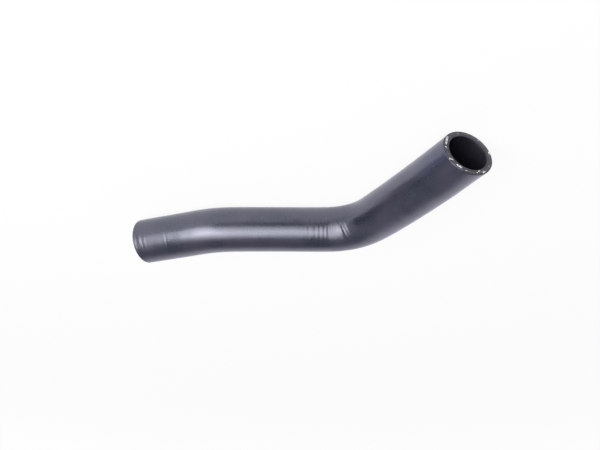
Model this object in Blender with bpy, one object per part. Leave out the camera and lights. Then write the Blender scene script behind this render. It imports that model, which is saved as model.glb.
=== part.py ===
"""Preformed coolant hose for an engine manifold, in metres, +Z up.

One moulded piece of yarn-reinforced rubber. It is built the way it is made: a tube is pushed over a
bent mandrel, cured in that shape, and then trimmed to length with a knife at both ends. Its whole
centreline lies in one level plane, so the hose lies flat on its side.
"""

from math import ceil, cos, radians, sin

import bmesh
import bpy
from mathutils import Matrix, Vector

# Section of the tube.
BORE_DIAMETER = 0.030
WALL_THICKNESS = 0.0045

# Centreline, from the short end to the long end. The two bends turn opposite ways.
SHORT_LEG_LENGTH = 0.055
SHALLOW_BEND_ANGLE = radians(18.0)
SHALLOW_BEND_RADIUS = 0.110
MIDDLE_LEG_LENGTH = 0.079
SHARP_BEND_ANGLE = radians(52.5)
SHARP_BEND_RADIUS = 0.052
LONG_LEG_LENGTH = 0.113
LONG_LEG_SWEEP = radians(6.0)

# Knife cuts, a little off square. Each cut face looks out of the hose: its turn is how far it is
# swung left about the vertical, and its tilt is how far it looks up.
SHORT_END_TURN = radians(3.7)
SHORT_END_TILT = radians(1.7)
LONG_END_TURN = radians(9.4)
LONG_END_TILT = radians(-4.6)

# Length moulded past each end, which the knife takes off.
TRIM_WASTE = 0.025
# How far the bore's cutter runs past the moulded tube.
BORE_OVERRUN = 0.005

# Fineness of the faceted solid.
SIDES = 48
BEND_STEP = radians(3.5)
SWEEP_STEPS = 6

COVER_COLOUR = (0.045, 0.045, 0.055, 1.0)
COVER_ROUGHNESS = 0.42

OUTER_DIAMETER = BORE_DIAMETER + 2.0 * WALL_THICKNESS


def clear_scene():
    """Remove whatever the scene holds."""
    for item in list(bpy.data.objects):
        bpy.data.objects.remove(item, do_unlink=True)


def new_collection(name):
    """Make a collection and link it to the scene."""
    collection = bpy.data.collections.new(name)
    bpy.context.scene.collection.children.link(collection)
    return collection


def rubber_cover():
    """Dark slate rubber with a soft sheen."""
    material = bpy.data.materials.new("hose_rubber")
    material.use_nodes = True
    shader = material.node_tree.nodes["Principled BSDF"]
    shader.inputs["Base Color"].default_value = COVER_COLOUR
    shader.inputs["Roughness"].default_value = COVER_ROUGHNESS
    shader.inputs["Metallic"].default_value = 0.0
    return material


class Route:
    """A path drawn in the level plane by going ahead and turning, one stretch after another."""

    def __init__(self, place, heading):
        self.place = place.copy()
        self.heading = heading
        self.points = [place.copy()]

    def ahead(self):
        """Unit vector along the path where it now ends."""
        return Vector((cos(self.heading), sin(self.heading), 0.0))

    def leftward(self):
        """Unit vector to the left of the path where it now ends."""
        return Vector((-sin(self.heading), cos(self.heading), 0.0))

    def straight(self, length):
        """Go straight ahead."""
        self.place = self.place + self.ahead() * length
        self.points.append(self.place.copy())

    def arc(self, length, turn, steps):
        """Go along a circular arc that turns left by the given angle, or right if it is negative."""
        radius = length / turn
        for _ in range(steps):
            centre = self.place + self.leftward() * radius
            self.heading += turn / steps
            self.place = centre - self.leftward() * radius
            self.points.append(self.place.copy())

    def bend(self, radius, turn):
        """Go round a bend of a given radius."""
        self.arc(radius * abs(turn), turn, ceil(abs(turn) / BEND_STEP))


def finished_route():
    """The centreline of the finished hose, from the middle of one cut face to that of the other.

    It starts at the origin, and the middle leg runs along +X.
    """
    route = Route(Vector((0.0, 0.0, 0.0)), SHALLOW_BEND_ANGLE)
    route.straight(SHORT_LEG_LENGTH)
    route.bend(SHALLOW_BEND_RADIUS, -SHALLOW_BEND_ANGLE)
    route.straight(MIDDLE_LEG_LENGTH)
    route.bend(SHARP_BEND_RADIUS, SHARP_BEND_ANGLE)
    route.arc(LONG_LEG_LENGTH, LONG_LEG_SWEEP, SWEEP_STEPS)
    return route


def lengthened(route, extra):
    """The route's points, with both end points moved straight out by extra."""
    start = Route(route.points[0], SHALLOW_BEND_ANGLE)
    first = start.place - start.ahead() * extra
    last = route.place + route.ahead() * extra
    return [first, *route.points[1:], last]


def tube(name, points, diameter, collection):
    """A closed round bar along the points, as a mesh object."""
    curve = bpy.data.curves.new(name, "CURVE")
    curve.dimensions = "3D"
    curve.twist_mode = "Z_UP"
    curve.bevel_depth = diameter / 2.0
    curve.bevel_resolution = (SIDES - 4) // 2
    curve.use_fill_caps = True
    spline = curve.splines.new("POLY")
    spline.points.add(len(points) - 1)
    for spot, point in zip(spline.points, points):
        spot.co = (*point, 1.0)
    guide = bpy.data.objects.new(name + "_curve", curve)
    collection.objects.link(guide)
    bpy.context.view_layer.update()
    evaluated = guide.evaluated_get(bpy.context.evaluated_depsgraph_get())
    mesh = bpy.data.meshes.new_from_object(evaluated)
    mesh.name = name
    bpy.data.objects.remove(guide, do_unlink=True)

    bm = bmesh.new()
    bm.from_mesh(mesh)
    bmesh.ops.remove_doubles(bm, verts=bm.verts, dist=1e-6)
    bmesh.ops.recalc_face_normals(bm, faces=bm.faces)
    bm.to_mesh(mesh)
    bm.free()
    item = bpy.data.objects.new(name, mesh)
    collection.objects.link(item)
    return item


def knife(name, place, heading, turn, tilt, collection):
    """A block that takes off everything past a finished end of the centreline.

    The heading points out of the hose there. The cut face that is left looks along it, swung left
    by turn and up by tilt.
    """
    size = 2.0 * OUTER_DIAMETER + TRIM_WASTE
    mesh = bpy.data.meshes.new(name)
    bm = bmesh.new()
    bmesh.ops.create_cube(bm, size=size, matrix=Matrix.Translation((size / 2.0, 0.0, 0.0)))
    bm.to_mesh(mesh)
    bm.free()
    block = bpy.data.objects.new(name, mesh)
    block.location = place
    block.rotation_euler = (0.0, -tilt, heading + turn)
    collection.objects.link(block)
    return block


def as_cutter(item, target):
    """Hide a cutter from view and take it out of the target."""
    item.hide_render = True
    item.display_type = "WIRE"
    cut = target.modifiers.new(item.name, "BOOLEAN")
    cut.operation = "DIFFERENCE"
    cut.solver = "EXACT"
    cut.object = item


def evaluated_corners(item):
    """Lowest and highest corner of an object with its modifiers, in world space."""
    bpy.context.view_layer.update()
    evaluated = item.evaluated_get(bpy.context.evaluated_depsgraph_get())
    spots = [evaluated.matrix_world @ vertex.co for vertex in evaluated.data.vertices]
    low = Vector([min(spot[axis] for spot in spots) for axis in range(3)])
    high = Vector([max(spot[axis] for spot in spots) for axis in range(3)])
    return low, high


def stand_on_origin(base, item):
    """Move the empty that carries everything, so the hose lies on z = 0, centred over the origin."""
    low, high = evaluated_corners(item)
    middle = (low + high) / 2.0
    base.location = base.location - Vector((middle.x, middle.y, low.z))
    bpy.context.view_layer.update()


def build():
    """Make the hose."""
    clear_scene()
    parts = new_collection("manifold_coolant_hose")
    cutters = new_collection("cutters")

    base = bpy.data.objects.new("hose_base", None)
    parts.objects.link(base)

    route = finished_route()
    hose = tube("coolant_hose", lengthened(route, TRIM_WASTE), OUTER_DIAMETER, parts)
    hose.data.materials.append(rubber_cover())
    hose.data.shade_smooth()
    bore = tube("bore", lengthened(route, TRIM_WASTE + BORE_OVERRUN), BORE_DIAMETER, cutters)

    short_out = SHALLOW_BEND_ANGLE + radians(180.0)
    short_knife = knife(
        "short_end_knife", route.points[0], short_out, SHORT_END_TURN, SHORT_END_TILT, cutters
    )
    long_knife = knife(
        "long_end_knife", route.place, route.heading, LONG_END_TURN, LONG_END_TILT, cutters
    )

    for item in (hose, bore, short_knife, long_knife):
        item.parent = base
    for cutter in (bore, short_knife, long_knife):
        as_cutter(cutter, hose)

    stand_on_origin(base, hose)


build()
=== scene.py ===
# %% [markdown]
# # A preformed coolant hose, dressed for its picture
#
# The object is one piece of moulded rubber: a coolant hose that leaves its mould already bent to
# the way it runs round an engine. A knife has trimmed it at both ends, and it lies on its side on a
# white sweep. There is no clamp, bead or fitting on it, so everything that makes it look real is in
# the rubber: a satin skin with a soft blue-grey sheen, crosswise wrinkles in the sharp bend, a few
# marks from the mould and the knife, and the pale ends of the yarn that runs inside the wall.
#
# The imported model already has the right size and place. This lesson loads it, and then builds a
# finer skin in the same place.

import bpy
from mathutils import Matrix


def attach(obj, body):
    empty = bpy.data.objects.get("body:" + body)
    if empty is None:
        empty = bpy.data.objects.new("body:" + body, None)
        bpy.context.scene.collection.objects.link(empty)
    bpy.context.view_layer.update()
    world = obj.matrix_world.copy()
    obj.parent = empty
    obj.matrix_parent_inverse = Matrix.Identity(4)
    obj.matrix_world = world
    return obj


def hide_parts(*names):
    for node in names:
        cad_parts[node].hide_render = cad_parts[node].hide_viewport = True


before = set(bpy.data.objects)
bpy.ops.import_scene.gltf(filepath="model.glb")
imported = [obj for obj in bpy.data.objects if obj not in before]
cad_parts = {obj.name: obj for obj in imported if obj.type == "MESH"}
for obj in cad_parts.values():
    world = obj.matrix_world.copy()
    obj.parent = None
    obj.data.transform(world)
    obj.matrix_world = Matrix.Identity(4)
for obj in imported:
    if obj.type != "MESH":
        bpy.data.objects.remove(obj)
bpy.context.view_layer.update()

MM = 0.001
IN_MM = 1000.0

# %% [markdown]
# ## The camera
#
# The camera looks down at about 30 degrees at the side of the hose that the sharp bend hollows. The
# picture was turned half round afterwards, so the camera here hangs upside down, with a small tilt.
# The simplest way to say all that is an aim point, a direction and distance from it, and a roll.
# Blender's camera looks along its own -Z with +Y up, so `to_track_quat` turns its Z to point back
# from the aim, and a turn about that same Z adds the roll.

# %% The camera
import math

import bpy
from mathutils import Matrix, Vector

AIM = Vector((0.00239, -0.03249, 0.0195))
CAMERA_DISTANCE = 0.6017
CAMERA_AZIMUTH = math.radians(85.795)
CAMERA_ELEVATION = math.radians(29.772)
CAMERA_ROLL = math.radians(-177.75)
LENS_MM = 41.69


def direction(azimuth, elevation):
    """Unit vector that points to an azimuth, measured from +X towards +Y, and an elevation."""
    level = math.cos(elevation)
    return Vector((level * math.cos(azimuth), level * math.sin(azimuth), math.sin(elevation)))


backwards = direction(CAMERA_AZIMUTH, CAMERA_ELEVATION)
lens = bpy.data.cameras.new("camera")
lens.lens = LENS_MM
lens.sensor_width = 36.0
lens.clip_start = 0.01
camera = bpy.data.objects.new("camera", lens)
bpy.context.scene.collection.objects.link(camera)
roll = Matrix.Rotation(CAMERA_ROLL, 4, "Z")
facing = backwards.to_track_quat("Z", "Y").to_matrix().to_4x4()
camera.matrix_world = Matrix.Translation(AIM + CAMERA_DISTANCE * backwards) @ facing @ roll
bpy.context.scene.camera = camera
print("camera at", [round(value, 4) for value in camera.matrix_world.translation])

# %% [markdown]
# ## The line that the hose follows
#
# A preformed hose gets its shape from a mandrel, a bent steel bar that the raw tube is pushed over
# before it is cured. The mandrel's middle line is five stretches in one level plane: a short leg, a
# shallow bend to the right, a middle leg, a sharp bend to the left, and a long leg that still turns
# a little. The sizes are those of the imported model, in metres.
#
# On a real mandrel a bend eases in and out, and a mirror-like sheen shows at once where it doesn't.
# So the heading is averaged over a few millimetres. Walking along it in quarter-millimetre steps
# gives a table of places that any later step can look up.

# %% The middle line
BORE_DIAMETER = 0.030
WALL_THICKNESS = 0.0045
FIRST_HEADING = math.radians(18.0)
STRETCHES = (
    (0.055, 0.0),
    (0.110 * math.radians(18.0), math.radians(-18.0)),
    (0.079, 0.0),
    (0.052 * math.radians(52.5), math.radians(52.5)),
    (0.113, math.radians(6.0)),
)
BORE_RADIUS = BORE_DIAMETER / 2.0
OUTER_RADIUS = BORE_RADIUS + WALL_THICKNESS
HOSE_LENGTH = sum(length for length, _ in STRETCHES)
EASE = 0.005
EASE_SAMPLES = 11
STEP = 0.00025
OVERSHOOT = 0.012


def clamped(value):
    """The value, kept between 0 and 1."""
    return min(max(value, 0.0), 1.0)


def sharp_heading(along):
    """Heading at a distance along the hose, before its bends are eased."""
    heading = FIRST_HEADING
    for length, turn in STRETCHES:
        heading += turn * clamped(along / length)
        along -= length
    return heading


def eased_heading(along):
    """Heading at a distance along the hose."""
    middle = (EASE_SAMPLES - 1) / 2.0
    offsets = [EASE * (count - middle) / middle for count in range(EASE_SAMPLES)]
    return sum(sharp_heading(along + offset) for offset in offsets) / len(offsets)


def walk_the_line():
    """Places and headings along the middle line, which is at the origin where along is zero."""
    steps = round((HOSE_LENGTH + 2.0 * OVERSHOOT) / STEP)
    place = Vector((-OVERSHOOT * math.cos(FIRST_HEADING), -OVERSHOOT * math.sin(FIRST_HEADING)))
    places = [place]
    headings = [eased_heading(-OVERSHOOT)]
    for count in range(steps):
        along = -OVERSHOOT + (count + 0.5) * STEP
        heading = eased_heading(along)
        place = place + STEP * Vector((math.cos(heading), math.sin(heading)))
        places.append(place)
        headings.append(eased_heading(along + STEP / 2.0))
    return places, headings


line_places, line_headings = walk_the_line()
print("middle line", round(IN_MM * HOSE_LENGTH, 1), "mm long, in", len(line_places), "places")

# %% [markdown]
# The table starts from its own origin. The imported model is centred on the frame's origin instead,
# so the line is shifted once.
#
# The cured hose isn't equally thick all along: pulled over the mandrel, it is drawn a little
# thinner between the bends and stays nearly half a millimetre fuller towards both ends. `FULLNESS`
# lists how much the radius gains, in millimetres, at distances along the hose in metres. The fuller
# parts still rest on the floor, so their middle is raised by what their radius gains.
#
# `on_hose` is then the one helper that everything uses: it takes a distance along the hose and a
# step to the left and upwards from the middle line, and returns the place in the frame.

# %% Places on the hose
LINE_START = Vector((-0.140803, -0.062606))
FULLNESS = ((0.00, 0.45), (0.04, 0.45), (0.07, 0.30), (0.12, 0.05), (0.16, 0.0), (0.20, 0.12),
            (0.25, 0.42), (0.29, 0.42), (0.325, 0.10))


def on_line(along):
    """Place and heading of the middle line at a distance along the hose."""
    count = (along + OVERSHOOT) / STEP
    lower = min(max(int(count), 0), len(line_places) - 2)
    share = count - lower
    place = line_places[lower].lerp(line_places[lower + 1], share)
    heading = line_headings[lower] * (1.0 - share) + line_headings[lower + 1] * share
    return place + LINE_START, heading


def smooth(value):
    """The value, kept between 0 and 1 and eased in and out."""
    share = clamped(value)
    return share * share * (3.0 - 2.0 * share)


def extra_radius(along):
    """How much fuller the hose is than its nominal radius, in metres."""
    previous = FULLNESS[0]
    for knot in FULLNESS[1:]:
        if along <= knot[0]:
            share = smooth((along - previous[0]) / (knot[0] - previous[0]))
            return MM * (previous[1] + share * (knot[1] - previous[1]))
        previous = knot
    return MM * previous[1]


def on_hose(along, left, up):
    """Place in the frame that is left of and above the middle line at a distance along the hose."""
    place, heading = on_line(along)
    extra = extra_radius(along)
    wider = 1.0 + extra / OUTER_RADIUS
    sideways = wider * left * Vector((-math.sin(heading), math.cos(heading)))
    return Vector((place.x + sideways.x, place.y + sideways.y, OUTER_RADIUS + extra + wider * up))


long_mouth, long_heading = on_line(HOSE_LENGTH)
print("long mouth at", [round(value, 4) for value in long_mouth], "heading",
      round(math.degrees(long_heading), 1))

# %% [markdown]
# ## The skin, first straight
#
# The whole tube could be spun round its bends directly. It is easier to model it straight, along
# +X, and to bend it afterwards: while it is straight, the distance along the hose is just x, and
# the angle round it is read from y and z. That is also how the marks were made, because they lie
# along and across the hose wherever it bends.
#
# A tube starts as a circle of open edges. Extruding it a few times gives long bands, and
# `subdivide_edges` cuts each band into rings. They are far apart on the plain legs and close
# together where the wrinkles will be, because a wrinkle needs a few rings to itself. The bore is a
# second tube inside the first. Its faces are turned round, because on the finished hose they look
# inwards, at the coolant.

# %% Straight tubes from circles
import bmesh

ROUND = 144
COVER, CUT, BORE = 0, 1, 2
COVER_BANDS = (
    (0.015, 0.00045),
    (0.029, 0.00140),
    (0.034, 0.00040),
    (0.146, 0.00150),
    (0.209, 0.00042),
    (HOSE_LENGTH, 0.00150),
)
BORE_BANDS = ((HOSE_LENGTH, 0.00300),)


def straight_tube(bm, radius, bands, finish):
    """Add a tube along +X. Each band is where it ends, and how far apart its rings are."""
    standing = Matrix.Rotation(math.radians(90.0), 4, "Y")
    circle = bmesh.ops.create_circle(bm, segments=ROUND, radius=radius, matrix=standing)
    rim = list({edge for vertex in circle["verts"] for edge in vertex.link_edges})
    start = 0.0
    for end, spacing in bands:
        grown = bmesh.ops.extrude_edge_only(bm, edges=rim)["geom"]
        ring = [item for item in grown if isinstance(item, bmesh.types.BMVert)]
        rim = [item for item in grown if isinstance(item, bmesh.types.BMEdge)]
        for item in grown:
            if isinstance(item, bmesh.types.BMFace):
                item.material_index = finish
        bmesh.ops.translate(bm, verts=ring, vec=(end - start, 0.0, 0.0))
        lengthwise = list({edge for vertex in ring for edge in vertex.link_edges} - set(rim))
        bmesh.ops.subdivide_edges(bm, edges=lengthwise, cuts=round((end - start) / spacing) - 1)
        start = end


skin = bmesh.new()
straight_tube(skin, OUTER_RADIUS, COVER_BANDS, COVER)
straight_tube(skin, BORE_RADIUS, BORE_BANDS, BORE)
bmesh.ops.reverse_faces(skin, faces=[face for face in skin.faces if face.material_index == BORE])
print("straight skin", len(skin.faces), "faces; length",
      round(IN_MM * max(vertex.co.x for vertex in skin.verts), 1), "mm")

# %% [markdown]
# ## The knife cuts
#
# A hand-held knife doesn't cut quite square. Seen along the hose, the short end's face is swung by
# 3.7 degrees and tilted up by 1.7, and the long end's is swung by 9.4 and tilted down by 4.6. The
# tube could be cut with `bisect_plane`, but a slanting plane through close rings leaves slivers,
# and slivers spoil a bevel. Instead the last rings lean over, more and more towards the end, until
# the outermost one lies in the plane of the cut.

# %% Lean the last rings into the cuts
SHORT_CUT = (math.radians(3.7), math.radians(1.7))
LONG_CUT = (math.radians(9.4), math.radians(-4.6))
LEAN_REACH = 0.016


def lean(cut, left, up):
    """How far out of the hose the plane of a cut lies, left of and above the middle line.

    Left is as seen by someone who looks out of the hose.
    """
    swing, tilt = cut
    outwards = math.cos(tilt) * math.cos(swing)
    return -(left * math.cos(tilt) * math.sin(swing) + up * math.sin(tilt)) / outwards


def fade(distance, reach):
    """1 at no distance, easing to 0 at reach."""
    return smooth(1.0 - distance / reach)


for vertex in skin.verts:
    along, left, up = vertex.co
    short_share = fade(along, LEAN_REACH)
    long_share = fade(HOSE_LENGTH - along, LEAN_REACH)
    vertex.co.x -= short_share * lean(SHORT_CUT, -left, up)
    vertex.co.x += long_share * lean(LONG_CUT, left, up)
short_reach = max(lean(SHORT_CUT, side, 0.0) for side in (-OUTER_RADIUS, OUTER_RADIUS))
long_reach = lean(LONG_CUT, -OUTER_RADIUS, 0.0)
print("the cuts lean", round(IN_MM * short_reach, 2), "and", round(IN_MM * long_reach, 2), "mm each way")

# %% [markdown]
# ## The cut faces
#
# Each mouth now has two open loops of edges, one round the cover and one round the bore.
# `bridge_loops` joins them with a flat ring of faces, which is the cut through the wall. The ring
# is then divided into eight narrower ones, so that it can carry the relief that a knife leaves.

# %% Close the wall at both mouths
def mouth_edges(bm, short):
    """The open edges at one mouth."""
    loose = [edge for edge in bm.edges if edge.is_boundary]
    return [edge for edge in loose if (edge.verts[0].co.x < HOSE_LENGTH / 2.0) == short]


CUTS_ACROSS_WALL = 7

for short in (True, False):
    wall = bmesh.ops.bridge_loops(skin, edges=mouth_edges(skin, short))["faces"]
    for face in wall:
        face.material_index = CUT
        face.smooth = True
    spokes = {edge for face in wall for edge in face.edges}
    spokes = [edge for edge in spokes if all(face in wall for face in edge.link_faces)]
    bmesh.ops.subdivide_edges(skin, edges=spokes, cuts=CUTS_ACROSS_WALL, use_grid_fill=False)
bmesh.ops.recalc_face_normals(skin, faces=skin.faces)
print("closed skin", len(skin.faces), "faces,", sum(edge.is_boundary for edge in skin.edges), "open edges")

# %% [markdown]
# A knife leaves a crisp edge, but not a razor: a few tenths of a millimetre are always rounded or
# crushed. That narrow round catches a thin line of light, and without it the mouth looks like
# paper. `bevel` is told to work on edges, with two segments and the usual round profile.

# %% Take the sharpness off the four rims
RIM_ROUND = 0.00045


def at_rim(edge):
    """Whether an edge lies where a cut face meets the cover or the bore."""
    finishes = {face.material_index for face in edge.link_faces}
    return CUT in finishes and len(finishes) == 2


rims = [edge for edge in skin.edges if at_rim(edge)]
bmesh.ops.bevel(skin, geom=rims, offset=RIM_ROUND, offset_type="OFFSET", segments=2, profile=0.5,
                affect="EDGES", material=-1, clamp_overlap=True)
for face in skin.faces:
    face.smooth = True
print("rounded", len(rims), "rim edges; the skin now has", len(skin.faces), "faces")

# %% [markdown]
# ## Straight coordinates for the finishes
#
# Before anything is pushed in or bent, every vertex notes where it is now, in an attribute called
# `straight`. The finishes read it later, so that their streaks run along and across the hose
# through every bend.

# %% Note the straight place of every vertex
straight_layer = skin.verts.layers.float_vector.new("straight")
for vertex in skin.verts:
    vertex[straight_layer] = vertex.co.copy()
print("noted", len(skin.verts), "straight places")

# %% [markdown]
# ## Wrinkles, ridges and soft unevenness
#
# The inner side of the sharp bend is shorter than the outer side, and the raw rubber was bunched up
# there when it was pushed over the mandrel. It cured into fine crosswise creases, a few millimetres
# apart, deepest on the side that faces the hollow of the bend. Some lie square to the hose and the
# last ones lean. They could be a bump texture, but a crease this size breaks up the highlight and
# should do so from every side, so each is a real groove: a narrow bell-shaped dip, given by its
# distance along the hose, its depth, its width and the part of the round that it covers. A last
# number, where there is one, is its slant. The marks that handling left at the short end are made
# in the same way, three of them as low ridges.

# %% Grooves across the hose
from dataclasses import dataclass


@dataclass
class Crease:
    """A crosswise groove, or a ridge where the depth is negative.

    Lengths are in millimetres, low and high in degrees, and the slant in millimetres per degree.
    """

    along: float
    depth: float
    width: float
    low: float
    high: float
    slant: float = 0.0


BEND_CREASES = (
    Crease(147.9, 0.045, 0.90, 14.0, 56.0, 0.010),
    Crease(151.4, 0.035, 0.80, 16.0, 52.0, 0.008),
    Crease(154.5, 0.150, 0.85, -6.0, 48.0, 0.010),
    Crease(160.0, 0.140, 1.05, 4.0, 68.0, 0.004),
    Crease(164.0, 0.150, 1.00, 0.0, 70.0),
    Crease(168.2, 0.150, 1.05, -4.0, 74.0, 0.003),
    Crease(172.2, 0.060, 0.85, -8.0, 78.0, 0.005),
    Crease(175.6, 0.060, 0.55, 4.0, 40.0, 0.010),
    Crease(178.6, 0.030, 0.50, 4.0, 38.0, 0.010),
    Crease(182.0, 0.020, 0.55, 0.0, 36.0, 0.010),
    Crease(188.2, 0.170, 2.20, -10.0, 64.0, 0.020),
    Crease(187.8, 0.110, 0.75, 0.0, 48.0, 0.090),
    Crease(191.9, 0.120, 0.80, -6.0, 50.0, 0.100),
    Crease(196.0, 0.070, 0.90, -6.0, 44.0, 0.100),
)
END_MARKS = (
    Crease(2.6, 0.080, 0.60, -20.0, 70.0),
    Crease(5.6, -0.180, 1.00, 12.0, 36.0),
    Crease(8.4, 0.080, 0.60, 2.0, 54.0),
    Crease(10.6, -0.045, 0.55, 12.0, 42.0),
    Crease(13.0, 0.030, 0.60, 0.0, 60.0),
    Crease(30.4, -0.025, 0.60, -25.0, 75.0, -0.004),
    Crease(32.6, 0.040, 0.70, -10.0, 70.0, -0.004),
)

BELL_REACH = 3.5
END_INSET = 12.0
END_SOFTNESS = 20.0


def window(value, low, high, soft):
    """1 between low and high, easing to 0 over a soft edge outside them."""
    return fade(max(low - value, value - high, 0.0), soft)


def dip(crease, along, around):
    """How deep a crease is at a place, in metres. Around is in degrees up from the left side."""
    middle = (crease.low + crease.high) / 2.0
    centre = crease.along + crease.slant * (around - middle)
    distance = IN_MM * along - centre
    if abs(distance) > BELL_REACH * crease.width:
        return 0.0
    bell = math.exp(-((distance / crease.width) ** 2))
    covered = window(around, crease.low + END_INSET, crease.high - END_INSET, END_SOFTNESS)
    return MM * crease.depth * bell * covered


print(len(BEND_CREASES), "creases in the bend and", len(END_MARKS), "marks at the short end")

# %% [markdown]
# A tube also goes a little flat in the hollow of a bend. Here that happened between two groups of
# creases, on a patch about as long as a fingertip. The flat mirrors more of the lamp than the round
# beside it, so the streak is wider there.

# %% The flat in the bend
FLAT_DEPTH = 0.00037
FLAT_START, FLAT_RUN_IN = 0.1735, 0.0045
FLAT_END, FLAT_RUN_OUT = 0.1860, 0.0070
FLAT_MIDDLE, FLAT_SPREAD = 38.0, 21.0


def flat(along, around):
    """How deep the flat in the hollow of the bend is at a place, in metres."""
    run_in = fade(FLAT_START - along, FLAT_RUN_IN)
    run_out = fade(along - FLAT_END, FLAT_RUN_OUT)
    crosswise = math.exp(-(((around - FLAT_MIDDLE) / FLAT_SPREAD) ** 2))
    return FLAT_DEPTH * run_in * run_out * crosswise


print("flat", round(IN_MM * flat(FLAT_START, FLAT_MIDDLE), 2), "mm deep")

# %% [markdown]
# Moulded rubber is never quite true either. Its surface wanders by about a tenth of a millimetre,
# partly in long slow waves and partly in shorter ones. Nobody sees that in the outline, but it
# makes the sheen swim, which is much of why rubber doesn't look like painted metal.
# `mathutils.noise` gives the same wander on every run. Nothing is pushed out along the underside,
# because the hose rests on it.

# %% Push the marks into the skin
from mathutils import noise

WANDER = 0.00010
SLOW_WAVES = (38.0, 55.0)
QUICK_WAVES = (140.0, 95.0)
QUICK_SHARE = 0.70
QUICK_OFFSET = 7.0
REST_BAND = 0.0015
COVER_EDGE = OUTER_RADIUS - 0.6 * RIM_ROUND


def waves(pitch, along, left, up, offset):
    """Noise from -1 to 1. The pitch is how many waves there are to a metre, along and across."""
    lengthwise, crosswise = pitch
    return noise.noise(Vector((lengthwise * along + offset, crosswise * left, crosswise * up)))


def wander(along, left, up):
    """Soft unevenness of the cover, in metres."""
    slow = waves(SLOW_WAVES, along, left, up, 0.0)
    quick = waves(QUICK_WAVES, along, left, up, QUICK_OFFSET)
    return WANDER * (slow + QUICK_SHARE * quick)


def mark_cover(vertex):
    """Move one vertex of the cover in or out by the marks that it lies in."""
    along, left, up = vertex[straight_layer]
    around = math.degrees(math.atan2(up, left))
    shift = wander(along, left, up) - flat(along, around)
    for crease in BEND_CREASES + END_MARKS:
        shift -= dip(crease, along, around)
    if up + OUTER_RADIUS < REST_BAND:
        shift = min(shift, 0.0)
    outwards = Vector((0.0, left, up)).normalized()
    vertex.co += shift * outwards
    return abs(shift)


outer = [vertex for vertex in skin.verts if math.hypot(*vertex.co.yz) > COVER_EDGE]
deepest = max(mark_cover(vertex) for vertex in outer)
print("marked", len(outer), "vertices; deepest mark", round(IN_MM * deepest, 3), "mm")

# %% [markdown]
# The wall's cut face gets its own relief, out of the plane of the cut. The knife went through three
# layers: the soft inner tube, the yarn and the cover. The rubber beside the yarn tears a little, so
# there is a shallow furrow a bit outside the middle of the wall, and the blade's path shows as
# faint waves across it.

# %% Relief of the cut faces
YARN_RADIUS = 0.0176
FURROW_DEPTH = 0.00016
FURROW_WIDTH = 0.00055
BLADE_WAVE = 0.00006
BLADE_PITCH = (420.0, 260.0, 90.0)
TORN_GRAIN = 0.00003
TORN_PITCH = 700.0
TORN_OFFSET = 3.0


def mark_cut(vertex):
    """Move one vertex of a cut face along the hose."""
    along, left, up = vertex[straight_layer]
    radius = math.hypot(left, up)
    outwards = -1.0 if along < HOSE_LENGTH / 2.0 else 1.0
    furrow = FURROW_DEPTH * math.exp(-(((radius - YARN_RADIUS) / FURROW_WIDTH) ** 2))
    across, slanted, lengthwise = BLADE_PITCH
    drag = noise.noise(Vector((across * left + slanted * up, lengthwise * up, outwards)))
    torn = noise.noise(Vector((TORN_PITCH * left, TORN_PITCH * up, TORN_OFFSET * outwards)))
    vertex.co.x += outwards * (BLADE_WAVE * drag + TORN_GRAIN * torn - furrow)


def only_cut(vertex):
    """Whether a vertex has nothing but the cut face round it."""
    return all(face.material_index == CUT for face in vertex.link_faces)


cut_points = [vertex for vertex in skin.verts if only_cut(vertex)]
for vertex in cut_points:
    mark_cut(vertex)
print("marked", len(cut_points), "vertices of the cut faces")

# %% [markdown]
# ## Bend the skin
#
# Now x becomes the distance along the middle line, y the step to its left, and z the height over
# it. One pass over the vertices bends the whole hose at once. The bmesh is then written to a mesh
# whose object stays at the origin, unturned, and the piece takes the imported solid's place.

# %% Bend it, and put it in the solid's place
for vertex in skin.verts:
    vertex.co = on_hose(vertex.co.x, vertex.co.y, vertex.co.z)
bmesh.ops.recalc_face_normals(skin, faces=skin.faces)


def finished_piece(bm, name):
    """Write a bmesh to an object at the origin that rides on the hose's one body."""
    mesh = bpy.data.meshes.new(name)
    bm.to_mesh(mesh)
    bm.free()
    piece = bpy.data.objects.new(name, mesh)
    bpy.context.scene.collection.objects.link(piece)
    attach(piece, "root")
    mesh.calc_loop_triangles()
    print(name, len(mesh.loop_triangles), "triangles")
    return piece


lowest = min(vertex.co.z for vertex in skin.verts)
hose_skin = finished_piece(skin, "hose_skin")
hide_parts("coolant_hose")
print("lowest point", round(IN_MM * lowest, 3), "mm above the floor")

# %% [markdown]
# ## Yarn ends in the cut faces
#
# The wall is reinforced with polyester yarn, wound round the inner tube in two crossing spirals.
# The knife cuts through every strand. Most ends are smeared over with rubber, but some stand clear
# as off-white flecks, and where a strand ran almost along the cut it shows as a dash. Each fleck is
# a small tuft of separate fibres, each a five-sided rod that tapers and strays a little.
#
# First a helper for places on a cut: a radius, an angle round the hose, and how far the place
# stands out of the cut face.

# %% Places on the cut faces
import random


def on_cut(short, radius, around, proud):
    """Place on a cut face. Around is in degrees up from the hose's left side."""
    left = radius * math.cos(math.radians(around))
    up = radius * math.sin(math.radians(around))
    if short:
        return on_hose(-lean(SHORT_CUT, -left, up) - proud, left, up)
    return on_hose(HOSE_LENGTH + lean(LONG_CUT, left, up) + proud, left, up)


FIBRE_SIDES = 5
FIBRE_TAPER = (0.9, 0.75, 0.45)
FIBRE_STRAY = 0.35


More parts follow.
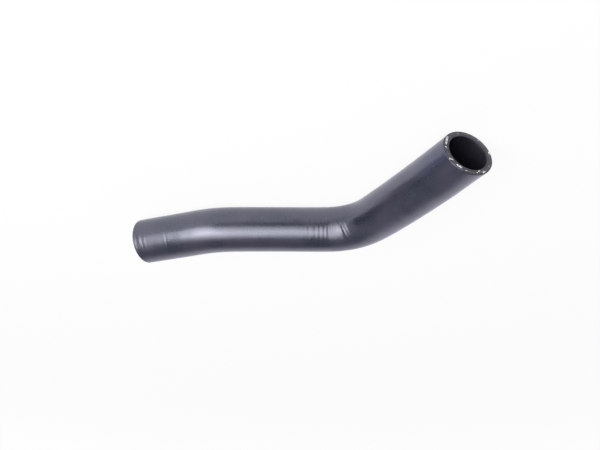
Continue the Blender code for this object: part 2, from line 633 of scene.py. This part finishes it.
def fibre(bm, start, end, thickness, chance):
    """Add one tapering rod from start to end that strays a little on the way."""
    run = end - start
    facing = run.to_track_quat("Z", "Y").to_matrix().to_4x4()
    circle = bmesh.ops.create_circle(bm, cap_ends=True, segments=FIBRE_SIDES, radius=thickness / 2.0,
                                     matrix=Matrix.Translation(start) @ facing)
    ring = circle["verts"]
    edges = list({edge for vertex in ring for edge in vertex.link_edges})
    for share in FIBRE_TAPER:
        grown = bmesh.ops.extrude_edge_only(bm, edges=edges)["geom"]
        ring = [item for item in grown if isinstance(item, bmesh.types.BMVert)]
        edges = [item for item in grown if isinstance(item, bmesh.types.BMEdge)]
        stray = Vector([chance.uniform(-FIBRE_STRAY, FIBRE_STRAY) * thickness for _ in range(3)])
        bmesh.ops.translate(bm, verts=ring, vec=run / len(FIBRE_TAPER) + stray)
        middle = sum((vertex.co for vertex in ring), Vector()) / len(ring)
        bmesh.ops.scale(bm, verts=ring, vec=(share, share, share), space=Matrix.Translation(-middle))
    bmesh.ops.edgeloop_fill(bm, edges=edges)


print("a place on the long cut:", [round(IN_MM * value, 1) for value in on_cut(False, YARN_RADIUS, 0, 0)])

# %% [markdown]
# A tuft is given by where it starts and ends round the wall, at which radius, and how wide it is.
# The long mouth's tufts sit where flecks are seen in the face that looks at the camera. The short
# mouth looks away, so its tufts are dealt out evenly with a fixed seed.

# %% Tufts of fibres
@dataclass
class Tuft:
    """Cut yarn in a wall: angles in degrees, radii and widths in millimetres."""

    start: float
    end: float
    first_radius: float
    last_radius: float
    width: float


LONG_TUFTS = (
    Tuft(326.0, 349.0, 18.35, 17.65, 1.50),
    Tuft(357.5, 362.0, 17.80, 17.70, 0.80),
    Tuft(30.0, 34.0, 18.70, 18.60, 0.75),
    Tuft(33.5, 38.5, 17.45, 17.40, 1.00),
    Tuft(51.5, 57.5, 17.40, 17.60, 1.15),
    Tuft(58.0, 65.0, 17.25, 17.65, 1.25),
    Tuft(75.0, 78.0, 17.90, 18.00, 0.45),
    Tuft(103.5, 107.0, 17.50, 17.40, 0.70),
    Tuft(111.5, 117.0, 16.40, 16.30, 0.80),
    Tuft(122.0, 130.0, 18.10, 17.90, 1.20),
    Tuft(150.0, 152.0, 17.60, 17.60, 0.30),
    Tuft(192.5, 198.5, 18.40, 18.25, 1.00),
    Tuft(233.0, 235.0, 17.70, 17.80, 0.30),
    Tuft(287.0, 289.0, 17.60, 17.60, 0.30),
)


DEALT_SHIFT = (-8.0, 8.0)
DEALT_RADIUS = (17.2, 18.2)
DEALT_RUN = (2.0, 9.0)
DEALT_DRIFT = (-0.2, 0.2)
DEALT_WIDTH = (0.3, 0.9)


def dealt_tufts(count, chance):
    """Tufts spread evenly round a wall, with chance in their places and sizes."""
    tufts = []
    for number in range(count):
        start = 360.0 * number / count + chance.uniform(*DEALT_SHIFT)
        radius = chance.uniform(*DEALT_RADIUS)
        tufts.append(Tuft(start, start + chance.uniform(*DEALT_RUN), radius,
                          radius + chance.uniform(*DEALT_DRIFT), chance.uniform(*DEALT_WIDTH)))
    return tufts


FIBRES_PER_MILLIMETRE = 18
FEWEST_FIBRES = 5
FIBRE_THICKNESS = (0.00013, 0.00019)
STANDING_PROUD = (-0.00002, 0.00016)
FIBRE_SIDESTEP = (-0.5, 0.5)
FIBRE_SLIP = (-0.15, 0.15)
FIBRE_TILT = (-0.00004, 0.00004)


def yarn_ends(name, short, tufts, seed):
    """Make the piece that holds every tuft of one mouth."""
    chance = random.Random(seed)
    bm = bmesh.new()
    for tuft in tufts:
        strands = max(FEWEST_FIBRES, round(FIBRES_PER_MILLIMETRE * tuft.width))
        for _ in range(strands):
            across = chance.uniform(*FIBRE_SIDESTEP) * tuft.width
            slip = chance.uniform(*FIBRE_SLIP) * (tuft.end - tuft.start)
            height = chance.uniform(*STANDING_PROUD)
            start = on_cut(short, MM * (tuft.first_radius + across), tuft.start + slip, height)
            end = on_cut(short, MM * (tuft.last_radius + across), tuft.end + slip,
                         height + chance.uniform(*FIBRE_TILT))
            fibre(bm, start, end, chance.uniform(*FIBRE_THICKNESS), chance)
    bmesh.ops.recalc_face_normals(bm, faces=bm.faces)
    for face in bm.faces:
        face.smooth = True
    return finished_piece(bm, name)


short_tufts = dealt_tufts(count=17, chance=random.Random(5))
yarn_long = yarn_ends("yarn_ends_long", short=False, tufts=LONG_TUFTS, seed=11)
yarn_short = yarn_ends("yarn_ends_short", short=True, tufts=short_tufts, seed=12)

# %% [markdown]
# ## A small language for finishes
#
# A finish is a tree of shader nodes. Written out node by node, even a simple sum is hard to read,
# so one small class wraps a socket and lets Python's own signs add the Math nodes. `2.0 * speckle`
# and `1.0 - dust` then mean what they say. A second class adds any other node: its settings go in
# first, because some of them change which sockets it has, and then its values or links.

# %% Sums on sockets
class Reading:
    """A value that a finish reads at each point. Sums on it add Math nodes."""

    def __init__(self, recipe, plug):
        self.recipe = recipe
        self.plug = plug

    def worked(self, operation, first, second):
        """Add one Math node."""
        return self.recipe.node("ShaderNodeMath", {"operation": operation}, {0: first, 1: second})

    def __add__(self, other):
        return self.worked("ADD", self, other)

    def __radd__(self, other):
        return self.worked("ADD", other, self)

    def __sub__(self, other):
        return self.worked("SUBTRACT", self, other)

    def __rsub__(self, other):
        return self.worked("SUBTRACT", other, self)

    def __mul__(self, other):
        return self.worked("MULTIPLY", self, other)

    def __rmul__(self, other):
        return self.worked("MULTIPLY", other, self)

    def at_least(self, other):
        """The higher of two values."""
        return self.worked("MAXIMUM", self, other)


class Recipe:
    """The node tree of one finish, lamp or sky."""

    def __init__(self, tree):
        self.tree = tree
        self.tree.nodes.clear()

    def node(self, kind, settings, sockets, output=0):
        """Add a node, set it up, fill its sockets, and return one of its outputs if it has any."""
        made = self.tree.nodes.new(kind)
        for name, value in settings.items():
            setattr(made, name, value)
        for key, value in sockets.items():
            if isinstance(value, Reading):
                self.tree.links.new(value.plug, made.inputs[key])
            else:
                made.inputs[key].default_value = value
        return Reading(self, made.outputs[output]) if made.outputs else None


print("helper classes:", Reading.__name__, "and", Recipe.__name__)

# %% [markdown]
# Three more helpers cover what these finishes do most: sample noise whose grain may be stretched
# along the hose, turn a range of values into 0 to 1, and mix two colours. Colours go through a Mix
# node, because a Math node would turn them grey. Three others start a finish, read the `straight`
# attribute, and end a finish in a Principled shader.

# %% Noise, ranges and colour mixes
def new_finish(name):
    """A material with an empty node tree, and the recipe that fills it."""
    material = bpy.data.materials.new(name)
    material.use_nodes = True
    return material, Recipe(material.node_tree)


EVEN = (1.0, 1.0, 1.0)
COLOUR_A, COLOUR_B, COLOUR_RESULT = 6, 7, 2


def grain(recipe, place, stretch, scale, detail=2.0, roughness=0.5):
    """Noise from 0 to 1. A stretch below 1 on an axis draws the grain out along it."""
    drawn = recipe.node("ShaderNodeVectorMath", {"operation": "MULTIPLY"}, {0: place, 1: stretch})
    settings = {"noise_dimensions": "3D"}
    sockets = {"Vector": drawn, "Scale": scale, "Detail": detail, "Roughness": roughness}
    return recipe.node("ShaderNodeTexNoise", settings, sockets)


def ranged(recipe, value, low, high):
    """0 below low, 1 above high, and a smooth rise between."""
    settings = {"interpolation_type": "SMOOTHSTEP"}
    sockets = {"Value": value, "From Min": low, "From Max": high, "To Min": 0.0, "To Max": 1.0}
    return recipe.node("ShaderNodeMapRange", settings, sockets)


def blended(recipe, share, first, second):
    """A colour between two colours. The Mix node finds its colour sockets by number."""
    sockets = {0: share, COLOUR_A: first, COLOUR_B: second}
    return recipe.node("ShaderNodeMix", {"data_type": "RGBA"}, sockets, COLOUR_RESULT)


def straight_place(recipe):
    """Where a point of the skin was while the hose was straight."""
    settings = {"attribute_type": "GEOMETRY", "attribute_name": "straight"}
    return recipe.node("ShaderNodeAttribute", settings, {}, "Vector")


def surface(recipe, sockets):
    """End the recipe in a Principled shader."""
    shader = recipe.node("ShaderNodeBsdfPrincipled", {}, sockets)
    recipe.node("ShaderNodeOutputMaterial", {"target": "ALL"}, {"Surface": shader})


print("helpers ready")

# %% [markdown]
# ## The rubber cover
#
# The cover is EPDM rubber, filled with carbon black, so its own colour is close to black. What the
# eye calls its colour is mostly sheen: a broad, soft reflection of a white room, slightly cool.
# Wax blooms to the surface in slow clouds. There the rubber is a little paler and more violet, and
# a thin dull coat lies over it, which spreads the edge of each reflection. The last 30 millimetres
# of the short end were gripped, and are a shade duller too, as is the rubber that was bunched up in
# the sharp bend. On the long leg's flank beside its mouth a bluer tone is painted into the colour:
# a painted reflection, which stands in for the cool tone that the flank mirrors there. Handling
# leaves faint wipe marks along the hose, which show as changes in roughness, and steam curing
# leaves a very fine pebble grain, which goes into the normal as a bump of a few hundredths of a
# millimetre. A few thin lines run across the hose where it was wrapped for curing.

# %% Finish of the cover
PLAIN_RUBBER = (0.0185, 0.0225, 0.035, 1.0)
BLOOMED_RUBBER = (0.0345, 0.030, 0.049, 1.0)
# Painted reflection: the bluer tone painted on the long leg's flank beside its mouth.
PAINTED_REFLECTION_BLUE = (0.017, 0.024, 0.058, 1.0)
DUST = (0.16, 0.16, 0.175, 1.0)
GRIP_ENDS = (0.0315, 0.0302)
BUNCHING_STARTS = (0.1710, 0.1745)
BUNCHING_ENDS = (0.2010, 0.1960)
PAINTED_REFLECTION_STARTS = (0.280, 0.315)
PAINTED_REFLECTION_SIDE = (0.0150, 0.0185)


def rubber_cover():
    """Dark slate rubber with a cool satin sheen."""
    material, recipe = new_finish("satin_cover")
    place = straight_place(recipe)
    clouds = grain(recipe, place, (0.6, 1.0, 1.0), 60.0, roughness=0.42)
    wipes = grain(recipe, place, (0.10, 1.0, 1.0), 420.0, detail=3.0, roughness=0.6)
    pebble = grain(recipe, place, EVEN, 2600.0)
    wraps = grain(recipe, place, (1.0, 0.06, 0.06), 900.0)
    specks = grain(recipe, place, EVEN, 1500.0, detail=1.0, roughness=0.4)
    dust = ranged(recipe, specks, 0.70, 0.80)

    bloom = ranged(recipe, clouds, 0.30, 0.70)
    along = recipe.node("ShaderNodeSeparateXYZ", {}, {0: place}, "X")
    left = recipe.node("ShaderNodeSeparateXYZ", {}, {0: place}, "Y")
    plain = blended(recipe, bloom, PLAIN_RUBBER, BLOOMED_RUBBER)
    # Painted reflection: the long leg's flank near its mouth is tinted bluer.
    painted_reflection_patch = ranged(recipe, along, *PAINTED_REFLECTION_STARTS) * ranged(recipe, left, *PAINTED_REFLECTION_SIDE)
    with_painted_reflection = blended(recipe, 0.7 * painted_reflection_patch, plain, PAINTED_REFLECTION_BLUE)
    colour = blended(recipe, 0.5 * dust, with_painted_reflection, DUST)
    gripped = ranged(recipe, along, *GRIP_ENDS)
    bunched = ranged(recipe, along, *BUNCHING_STARTS) * ranged(recipe, along, *BUNCHING_ENDS)
    worn = 0.05 * gripped + 0.07 * bunched
    roughness = 0.22 + 0.05 * bloom + 0.08 * wipes + 0.15 * dust + worn
    height = 0.55 * pebble + 0.45 * wraps + 0.15 * wipes
    relief = recipe.node("ShaderNodeBump", {}, {"Strength": 0.5, "Distance": 0.00006, "Height": height})
    surface(recipe, {
        "Base Color": colour,
        "Roughness": roughness,
        "Normal": relief,
        "IOR": 1.65,
        "Specular IOR Level": 1.0,
        "Specular Tint": (0.77, 0.79, 1.0, 1.0),
        "Coat Weight": 0.28 * bloom,
        "Coat Roughness": 0.34,
        "Coat Tint": (0.90, 0.90, 1.0, 1.0),
        "Sheen Weight": 0.25,
        "Sheen Roughness": 0.35,
        "Sheen Tint": (0.70, 0.62, 1.0, 1.0),
    })
    return material


cover_finish = rubber_cover()
print("finish", cover_finish.name)

# %% [markdown]
# ## The cut rubber
#
# Freshly cut rubber has lost its skin, so it is duller than the cover. The knife also lays the
# wall's three layers open. The inner tube is an even grey. The layer with the yarn is paler and
# blotchy, because threads and torn rubber lie side by side there. The cover's own stock, outside
# it, is dense and dark, and it draws a dark line round the mouth. The layers follow the distance
# from the middle of the bore, which the `straight` attribute gives however the hose bends.

# %% Finish of the cut faces
YARN_LAYER_STARTS = (0.01660, 0.01715)
COVER_STOCK_STARTS = (0.01835, 0.01875)
TUBE_STOCK_DARK = (0.026, 0.027, 0.037, 1.0)
TUBE_STOCK_PALE = (0.054, 0.054, 0.068, 1.0)
YARN_LAYER_DARK = (0.020, 0.021, 0.028, 1.0)
YARN_LAYER_PALE = (0.140, 0.140, 0.156, 1.0)
COVER_STOCK = (0.034, 0.034, 0.044, 1.0)
# Painted shade: the pits of the cut face are coloured dark, for the shade in these small hollows.
PAINTED_PIT_SHADE = (0.016, 0.016, 0.020, 1.0)


def cut_rubber():
    """Dull grey rubber in three layers, with the knife's drag lines."""
    material, recipe = new_finish("cut_rubber")
    place = straight_place(recipe)
    across = recipe.node("ShaderNodeVectorMath", {"operation": "MULTIPLY"}, {0: place, 1: (0.0, 1.0, 1.0)})
    radius = recipe.node("ShaderNodeVectorMath", {"operation": "LENGTH"}, {0: across}, "Value")
    drag = grain(recipe, place, (1.0, 0.35, 1.0), 2300.0, detail=3.0, roughness=0.6)
    blotch = grain(recipe, place, EVEN, 620.0, detail=3.0, roughness=0.65)
    pits = ranged(recipe, grain(recipe, place, EVEN, 1900.0), 0.42, 0.32)

    ragged = radius + 0.0006 * (blotch - 0.5)
    cover_stock = ranged(recipe, ragged, *COVER_STOCK_STARTS)
    yarn_layer = ranged(recipe, ragged, *YARN_LAYER_STARTS) * (1.0 - cover_stock)
    shade = ranged(recipe, 0.65 * blotch + 0.35 * drag, 0.36, 0.66)
    tube_stock = blended(recipe, shade, TUBE_STOCK_DARK, TUBE_STOCK_PALE)
    threaded = blended(recipe, shade, YARN_LAYER_DARK, YARN_LAYER_PALE)
    inner = blended(recipe, yarn_layer, tube_stock, threaded)
    layers = blended(recipe, cover_stock, inner, COVER_STOCK)
    # Painted shade: the pits get this dark colour as well as their dip in the bump.
    colour = blended(recipe, 0.8 * pits, layers, PAINTED_PIT_SHADE)
    height = 0.5 * drag + 0.3 * blotch - 0.6 * pits
    relief = recipe.node("ShaderNodeBump", {}, {"Strength": 0.8, "Distance": 0.00014, "Height": height})
    surface(recipe, {
        "Base Color": colour,
        "Roughness": 0.40 + 0.20 * blotch,
        "Normal": relief,
        "Specular IOR Level": 0.6,
        "Specular Tint": (0.82, 0.83, 1.0, 1.0),
    })
    return material


cut_finish = cut_rubber()
print("finish", cut_finish.name)

# %% [markdown]
# ## The bore
#
# The inner tube took the mandrel's polish, with a trace of the silicone that helps the hose slide
# off. It is smoother than the cover and almost black, with long faint scratches along the hose
# from being pulled off the steel.

# %% Finish of the bore
BORE_DARK = (0.008, 0.009, 0.014, 1.0)
BORE_PALE = (0.018, 0.018, 0.026, 1.0)


def bore_rubber():
    """Near-black rubber with long scratches."""
    material, recipe = new_finish("bore_rubber")
    place = straight_place(recipe)
    scratches = grain(recipe, place, (0.04, 1.0, 1.0), 900.0, detail=3.0, roughness=0.6)
    clouds = grain(recipe, place, EVEN, 120.0)
    colour = blended(recipe, clouds, BORE_DARK, BORE_PALE)
    relief = recipe.node("ShaderNodeBump", {}, {"Strength": 0.5, "Distance": 0.00005, "Height": scratches})
    surface(recipe, {
        "Base Color": colour,
        "Roughness": 0.38 + 0.16 * scratches,
        "Normal": relief,
        "Specular IOR Level": 0.4,
        "Specular Tint": (0.82, 0.84, 1.0, 1.0),
    })
    return material


bore_finish = bore_rubber()
print("finish", bore_finish.name)

# %% [markdown]
# ## The yarn
#
# Polyester yarn is a soft white, greyed here and there by the rubber that was dragged over it. It
# has a gentle sheen, and the fibres are real geometry already, so the finish only needs patches of
# smear and a fine grain.

# %% Finish of the yarn
CLEAN_YARN = (0.80, 0.80, 0.83, 1.0)
SMEARED_YARN = (0.20, 0.20, 0.22, 1.0)


def yarn():
    """Off-white fibres smeared with a little rubber."""
    material, recipe = new_finish("yarn_fibres")
    place = recipe.node("ShaderNodeTexCoord", {}, {}, "Object")
    smear = ranged(recipe, grain(recipe, place, EVEN, 700.0), 0.56, 0.74)
    fuzz = grain(recipe, place, EVEN, 6000.0, roughness=0.6)
    colour = blended(recipe, 0.7 * smear, CLEAN_YARN, SMEARED_YARN)
    relief = recipe.node("ShaderNodeBump", {}, {"Strength": 0.4, "Distance": 0.00003, "Height": fuzz})
    surface(recipe, {"Base Color": colour, "Roughness": 0.55 + 0.2 * fuzz, "Normal": relief})
    return material


yarn_finish = yarn()
print("finish", yarn_finish.name)

# %% [markdown]
# The skin's faces already carry the numbers of their finishes: 0 for the cover, 1 for the cut and 2
# for the bore. Appending the materials in that order is all that is left to do.

# %% Put the finishes on
for finish in (cover_finish, cut_finish, bore_finish):
    hose_skin.data.materials.append(finish)
for piece in (yarn_long, yarn_short):
    piece.data.materials.append(yarn_finish)
print("finishes on the skin:", [slot.material.name for slot in hose_skin.material_slots])

# %% [markdown]
# ## The floor
#
# Product pictures of small parts are taken on a white sweep that is lit until it has no tone left.
# Lighting it that hard here would bleach the hose. So the floor is an ordinary white surface that
# takes shadow, mixed with a plain white glow of strength 1 for rays that come straight from the
# camera or off something glossy. The hose then mirrors the same white floor that the camera sees,
# and a faint shadow stays under it. Far from the hose there is no shadow to keep, so the glow
# takes over there, and the floor runs into the white horizon without a seam.

# %% The white floor
FLOOR_SIZE = 14.0
FLOOR_WHITE = (0.92, 0.92, 0.92, 1.0)
GLOW_SHARE = 0.90
SHADOWS_END = (0.35, 1.60)

floor_mesh = bpy.data.meshes.new("floor")
floor_shape = bmesh.new()
bmesh.ops.create_grid(floor_shape, x_segments=1, y_segments=1, size=FLOOR_SIZE / 2.0)
floor_shape.to_mesh(floor_mesh)
floor_shape.free()
floor = bpy.data.objects.new("floor", floor_mesh)
bpy.context.scene.collection.objects.link(floor)

floor_finish, recipe = new_finish("white_floor")
white = recipe.node("ShaderNodeBsdfDiffuse", {}, {"Color": FLOOR_WHITE})
glow = recipe.node("ShaderNodeEmission", {}, {"Color": (1.0, 1.0, 1.0, 1.0), "Strength": 1.0})
from_camera = recipe.node("ShaderNodeLightPath", {}, {}, "Is Camera Ray")
from_gloss = recipe.node("ShaderNodeLightPath", {}, {}, "Is Glossy Ray")
from_glass = recipe.node("ShaderNodeLightPath", {}, {}, "Is Transmission Ray")
seen = from_camera.at_least(from_gloss).at_least(from_glass)
spot = recipe.node("ShaderNodeTexCoord", {}, {}, "Object")
distance = recipe.node("ShaderNodeVectorMath", {"operation": "LENGTH"}, {0: spot}, "Value")
far = ranged(recipe, distance, *SHADOWS_END)
share = GLOW_SHARE + (1.0 - GLOW_SHARE) * far
look = recipe.node("ShaderNodeMixShader", {}, {0: share * seen, 1: white, 2: glow})
recipe.node("ShaderNodeOutputMaterial", {"target": "ALL"}, {"Surface": look})
floor_mesh.materials.append(floor_finish)
print("floor", FLOOR_SIZE, "m across")

# %% [markdown]
# ## The room
#
# Satin rubber is a blurred mirror, so the room matters as much as the lamps. The white sweep runs
# up behind the hose and fades at about 40 degrees, the horizon is white all round, and the rest of
# the room is dim. The world shader reads the direction that a ray leaves in, which has a length of
# 1, and sorts it into those three by its height and by how far it points away from the camera.

# %% The room round the hose
HORIZON_WHITE = (1.0, 1.0, 1.0, 1.0)
CEILING = (0.155, 0.155, 0.18, 1.0)
SWEEP = (0.96, 0.96, 0.98, 1.0)
SWEEP_SIDES = (-0.25, -0.80)
SWEEP_TOP = (0.80, 0.48)
HORIZON_TOP = (0.085, 0.045)

world = bpy.data.worlds.new("room")
world.use_nodes = True
bpy.context.scene.world = world
recipe = Recipe(world.node_tree)
outlook = recipe.node("ShaderNodeTexCoord", {}, {}, "Generated")
split = [recipe.node("ShaderNodeSeparateXYZ", {}, {0: outlook}, axis) for axis in ("X", "Y", "Z")]
height = split[2]
behind = ranged(recipe, split[1], *SWEEP_SIDES)
low = ranged(recipe, height, *SWEEP_TOP)
horizon = ranged(recipe, height, *HORIZON_TOP)
upper = blended(recipe, behind * low, CEILING, SWEEP)
room = blended(recipe, horizon, upper, HORIZON_WHITE)
light = recipe.node("ShaderNodeBackground", {}, {"Color": room, "Strength": 1.0})
recipe.node("ShaderNodeOutputWorld", {"target": "ALL"}, {"Surface": light})
print("room: horizon", HORIZON_WHITE[0], "ceiling", CEILING[0], "sweep", SWEEP[0])

# %% [markdown]
# ## The lamps
#
# The long bright streak on the hose is one large softbox, behind the camera and towards what is the
# picture's left. It fills the sky there from about 17 to 70 degrees up. A softbox is brighter where
# its lamp sits, so two smaller ones hang in front of it: a wide one across its middle, and a lower
# one further left, which the short leg and both bends mirror. Each box's size follows from the
# angles that it fills and its distance. An area light's brightness is its power over pi times its
# area, so the power follows from the brightness that is wanted, which is a few times white. The
# lamps are a little warmer than the floor, because the streak is greyer than the sides that mirror
# the floor.

# %% The softboxes
LAMP_COLOUR = (1.0, 0.985, 0.92)


def softbox(name, azimuth, elevation, across, upright, distance, brightness):
    """Hang a rectangular lamp that faces the hose and fills two angles as seen from there."""
    lamp = bpy.data.lights.new(name, "AREA")
    lamp.shape = "RECTANGLE"
    lamp.size = 2.0 * distance * math.tan(math.radians(across / 2.0))
    lamp.size_y = 2.0 * distance * math.tan(math.radians(upright / 2.0))
    lamp.energy = brightness * math.pi * lamp.size * lamp.size_y
    lamp.color = LAMP_COLOUR
    item = bpy.data.objects.new(name, lamp)
    towards = direction(math.radians(azimuth), math.radians(elevation))
    facing = towards.to_track_quat("Z", "Y").to_matrix().to_4x4()
    item.matrix_world = Matrix.Translation(AIM + distance * towards) @ facing
    item.visible_camera = False
    bpy.context.scene.collection.objects.link(item)
    print(name, round(lamp.energy, 1), "W,", round(lamp.size, 2), "by", round(lamp.size_y, 2), "m")


softbox("large_softbox", 110.5, 43.5, across=53.0, upright=52.0, distance=1.60, brightness=2.45)
softbox("upper_softbox", 110.5, 45.0, across=52.0, upright=24.0, distance=1.55, brightness=2.15)
softbox("left_softbox", 132.5, 26.0, across=24.0, upright=38.0, distance=1.50, brightness=4.2)

# %% [markdown]
# Dark cards draw the dark lines that give a glossy round its shape. Without them the hose would
# mirror white floor right up to the horizon. A tall card stands on the picture's left, and a low
# one in front. The third is hardly higher than the hose's middle and stands in the hollow of the
# sharp bend: it carries the left card's tone down to the floor, as the long leg mirrors them. All
# three are kept from the camera and throw no shadow, so they show only as tones in the rubber.

# %% The dark cards
CARD_BLACK = (0.015, 0.015, 0.018, 1.0)

card_finish, recipe = new_finish("black_card")
black = recipe.node("ShaderNodeBsdfDiffuse", {}, {"Color": CARD_BLACK})
recipe.node("ShaderNodeOutputMaterial", {"target": "ALL"}, {"Surface": black})


def dark_card(name, low, high):
    """Stand a thin card between two opposite corners."""
    mesh = bpy.data.meshes.new(name)
    shape = bmesh.new()
    bmesh.ops.create_cube(shape, size=1.0, matrix=Matrix.Translation((low + high) / 2.0))
    bmesh.ops.scale(shape, verts=shape.verts, vec=high - low, space=Matrix.Translation(-(low + high) / 2.0))
    shape.to_mesh(mesh)
    shape.free()
    mesh.materials.append(card_finish)
    card = bpy.data.objects.new(name, mesh)
    bpy.context.scene.collection.objects.link(card)
    card.visible_camera = False
    card.visible_shadow = False
    card.visible_diffuse = False
    print(name, [round(value, 2) for value in high - low], "m")


dark_card("left_card", Vector((-0.275, -0.45, 0.001)), Vector((-0.270, 0.03, 0.16)))
dark_card("front_card", Vector((-0.17, 0.230, 0.001)), Vector((0.35, 0.235, 0.034)))
dark_card("low_card", Vector((-0.007, 0.014, 0.001)), Vector((-0.005, 0.090, 0.021)))

# %% [markdown]
# ## The view transform
#
# Standard view keeps colours as they are written.

bpy.context.scene.view_settings.view_transform = "Standard"
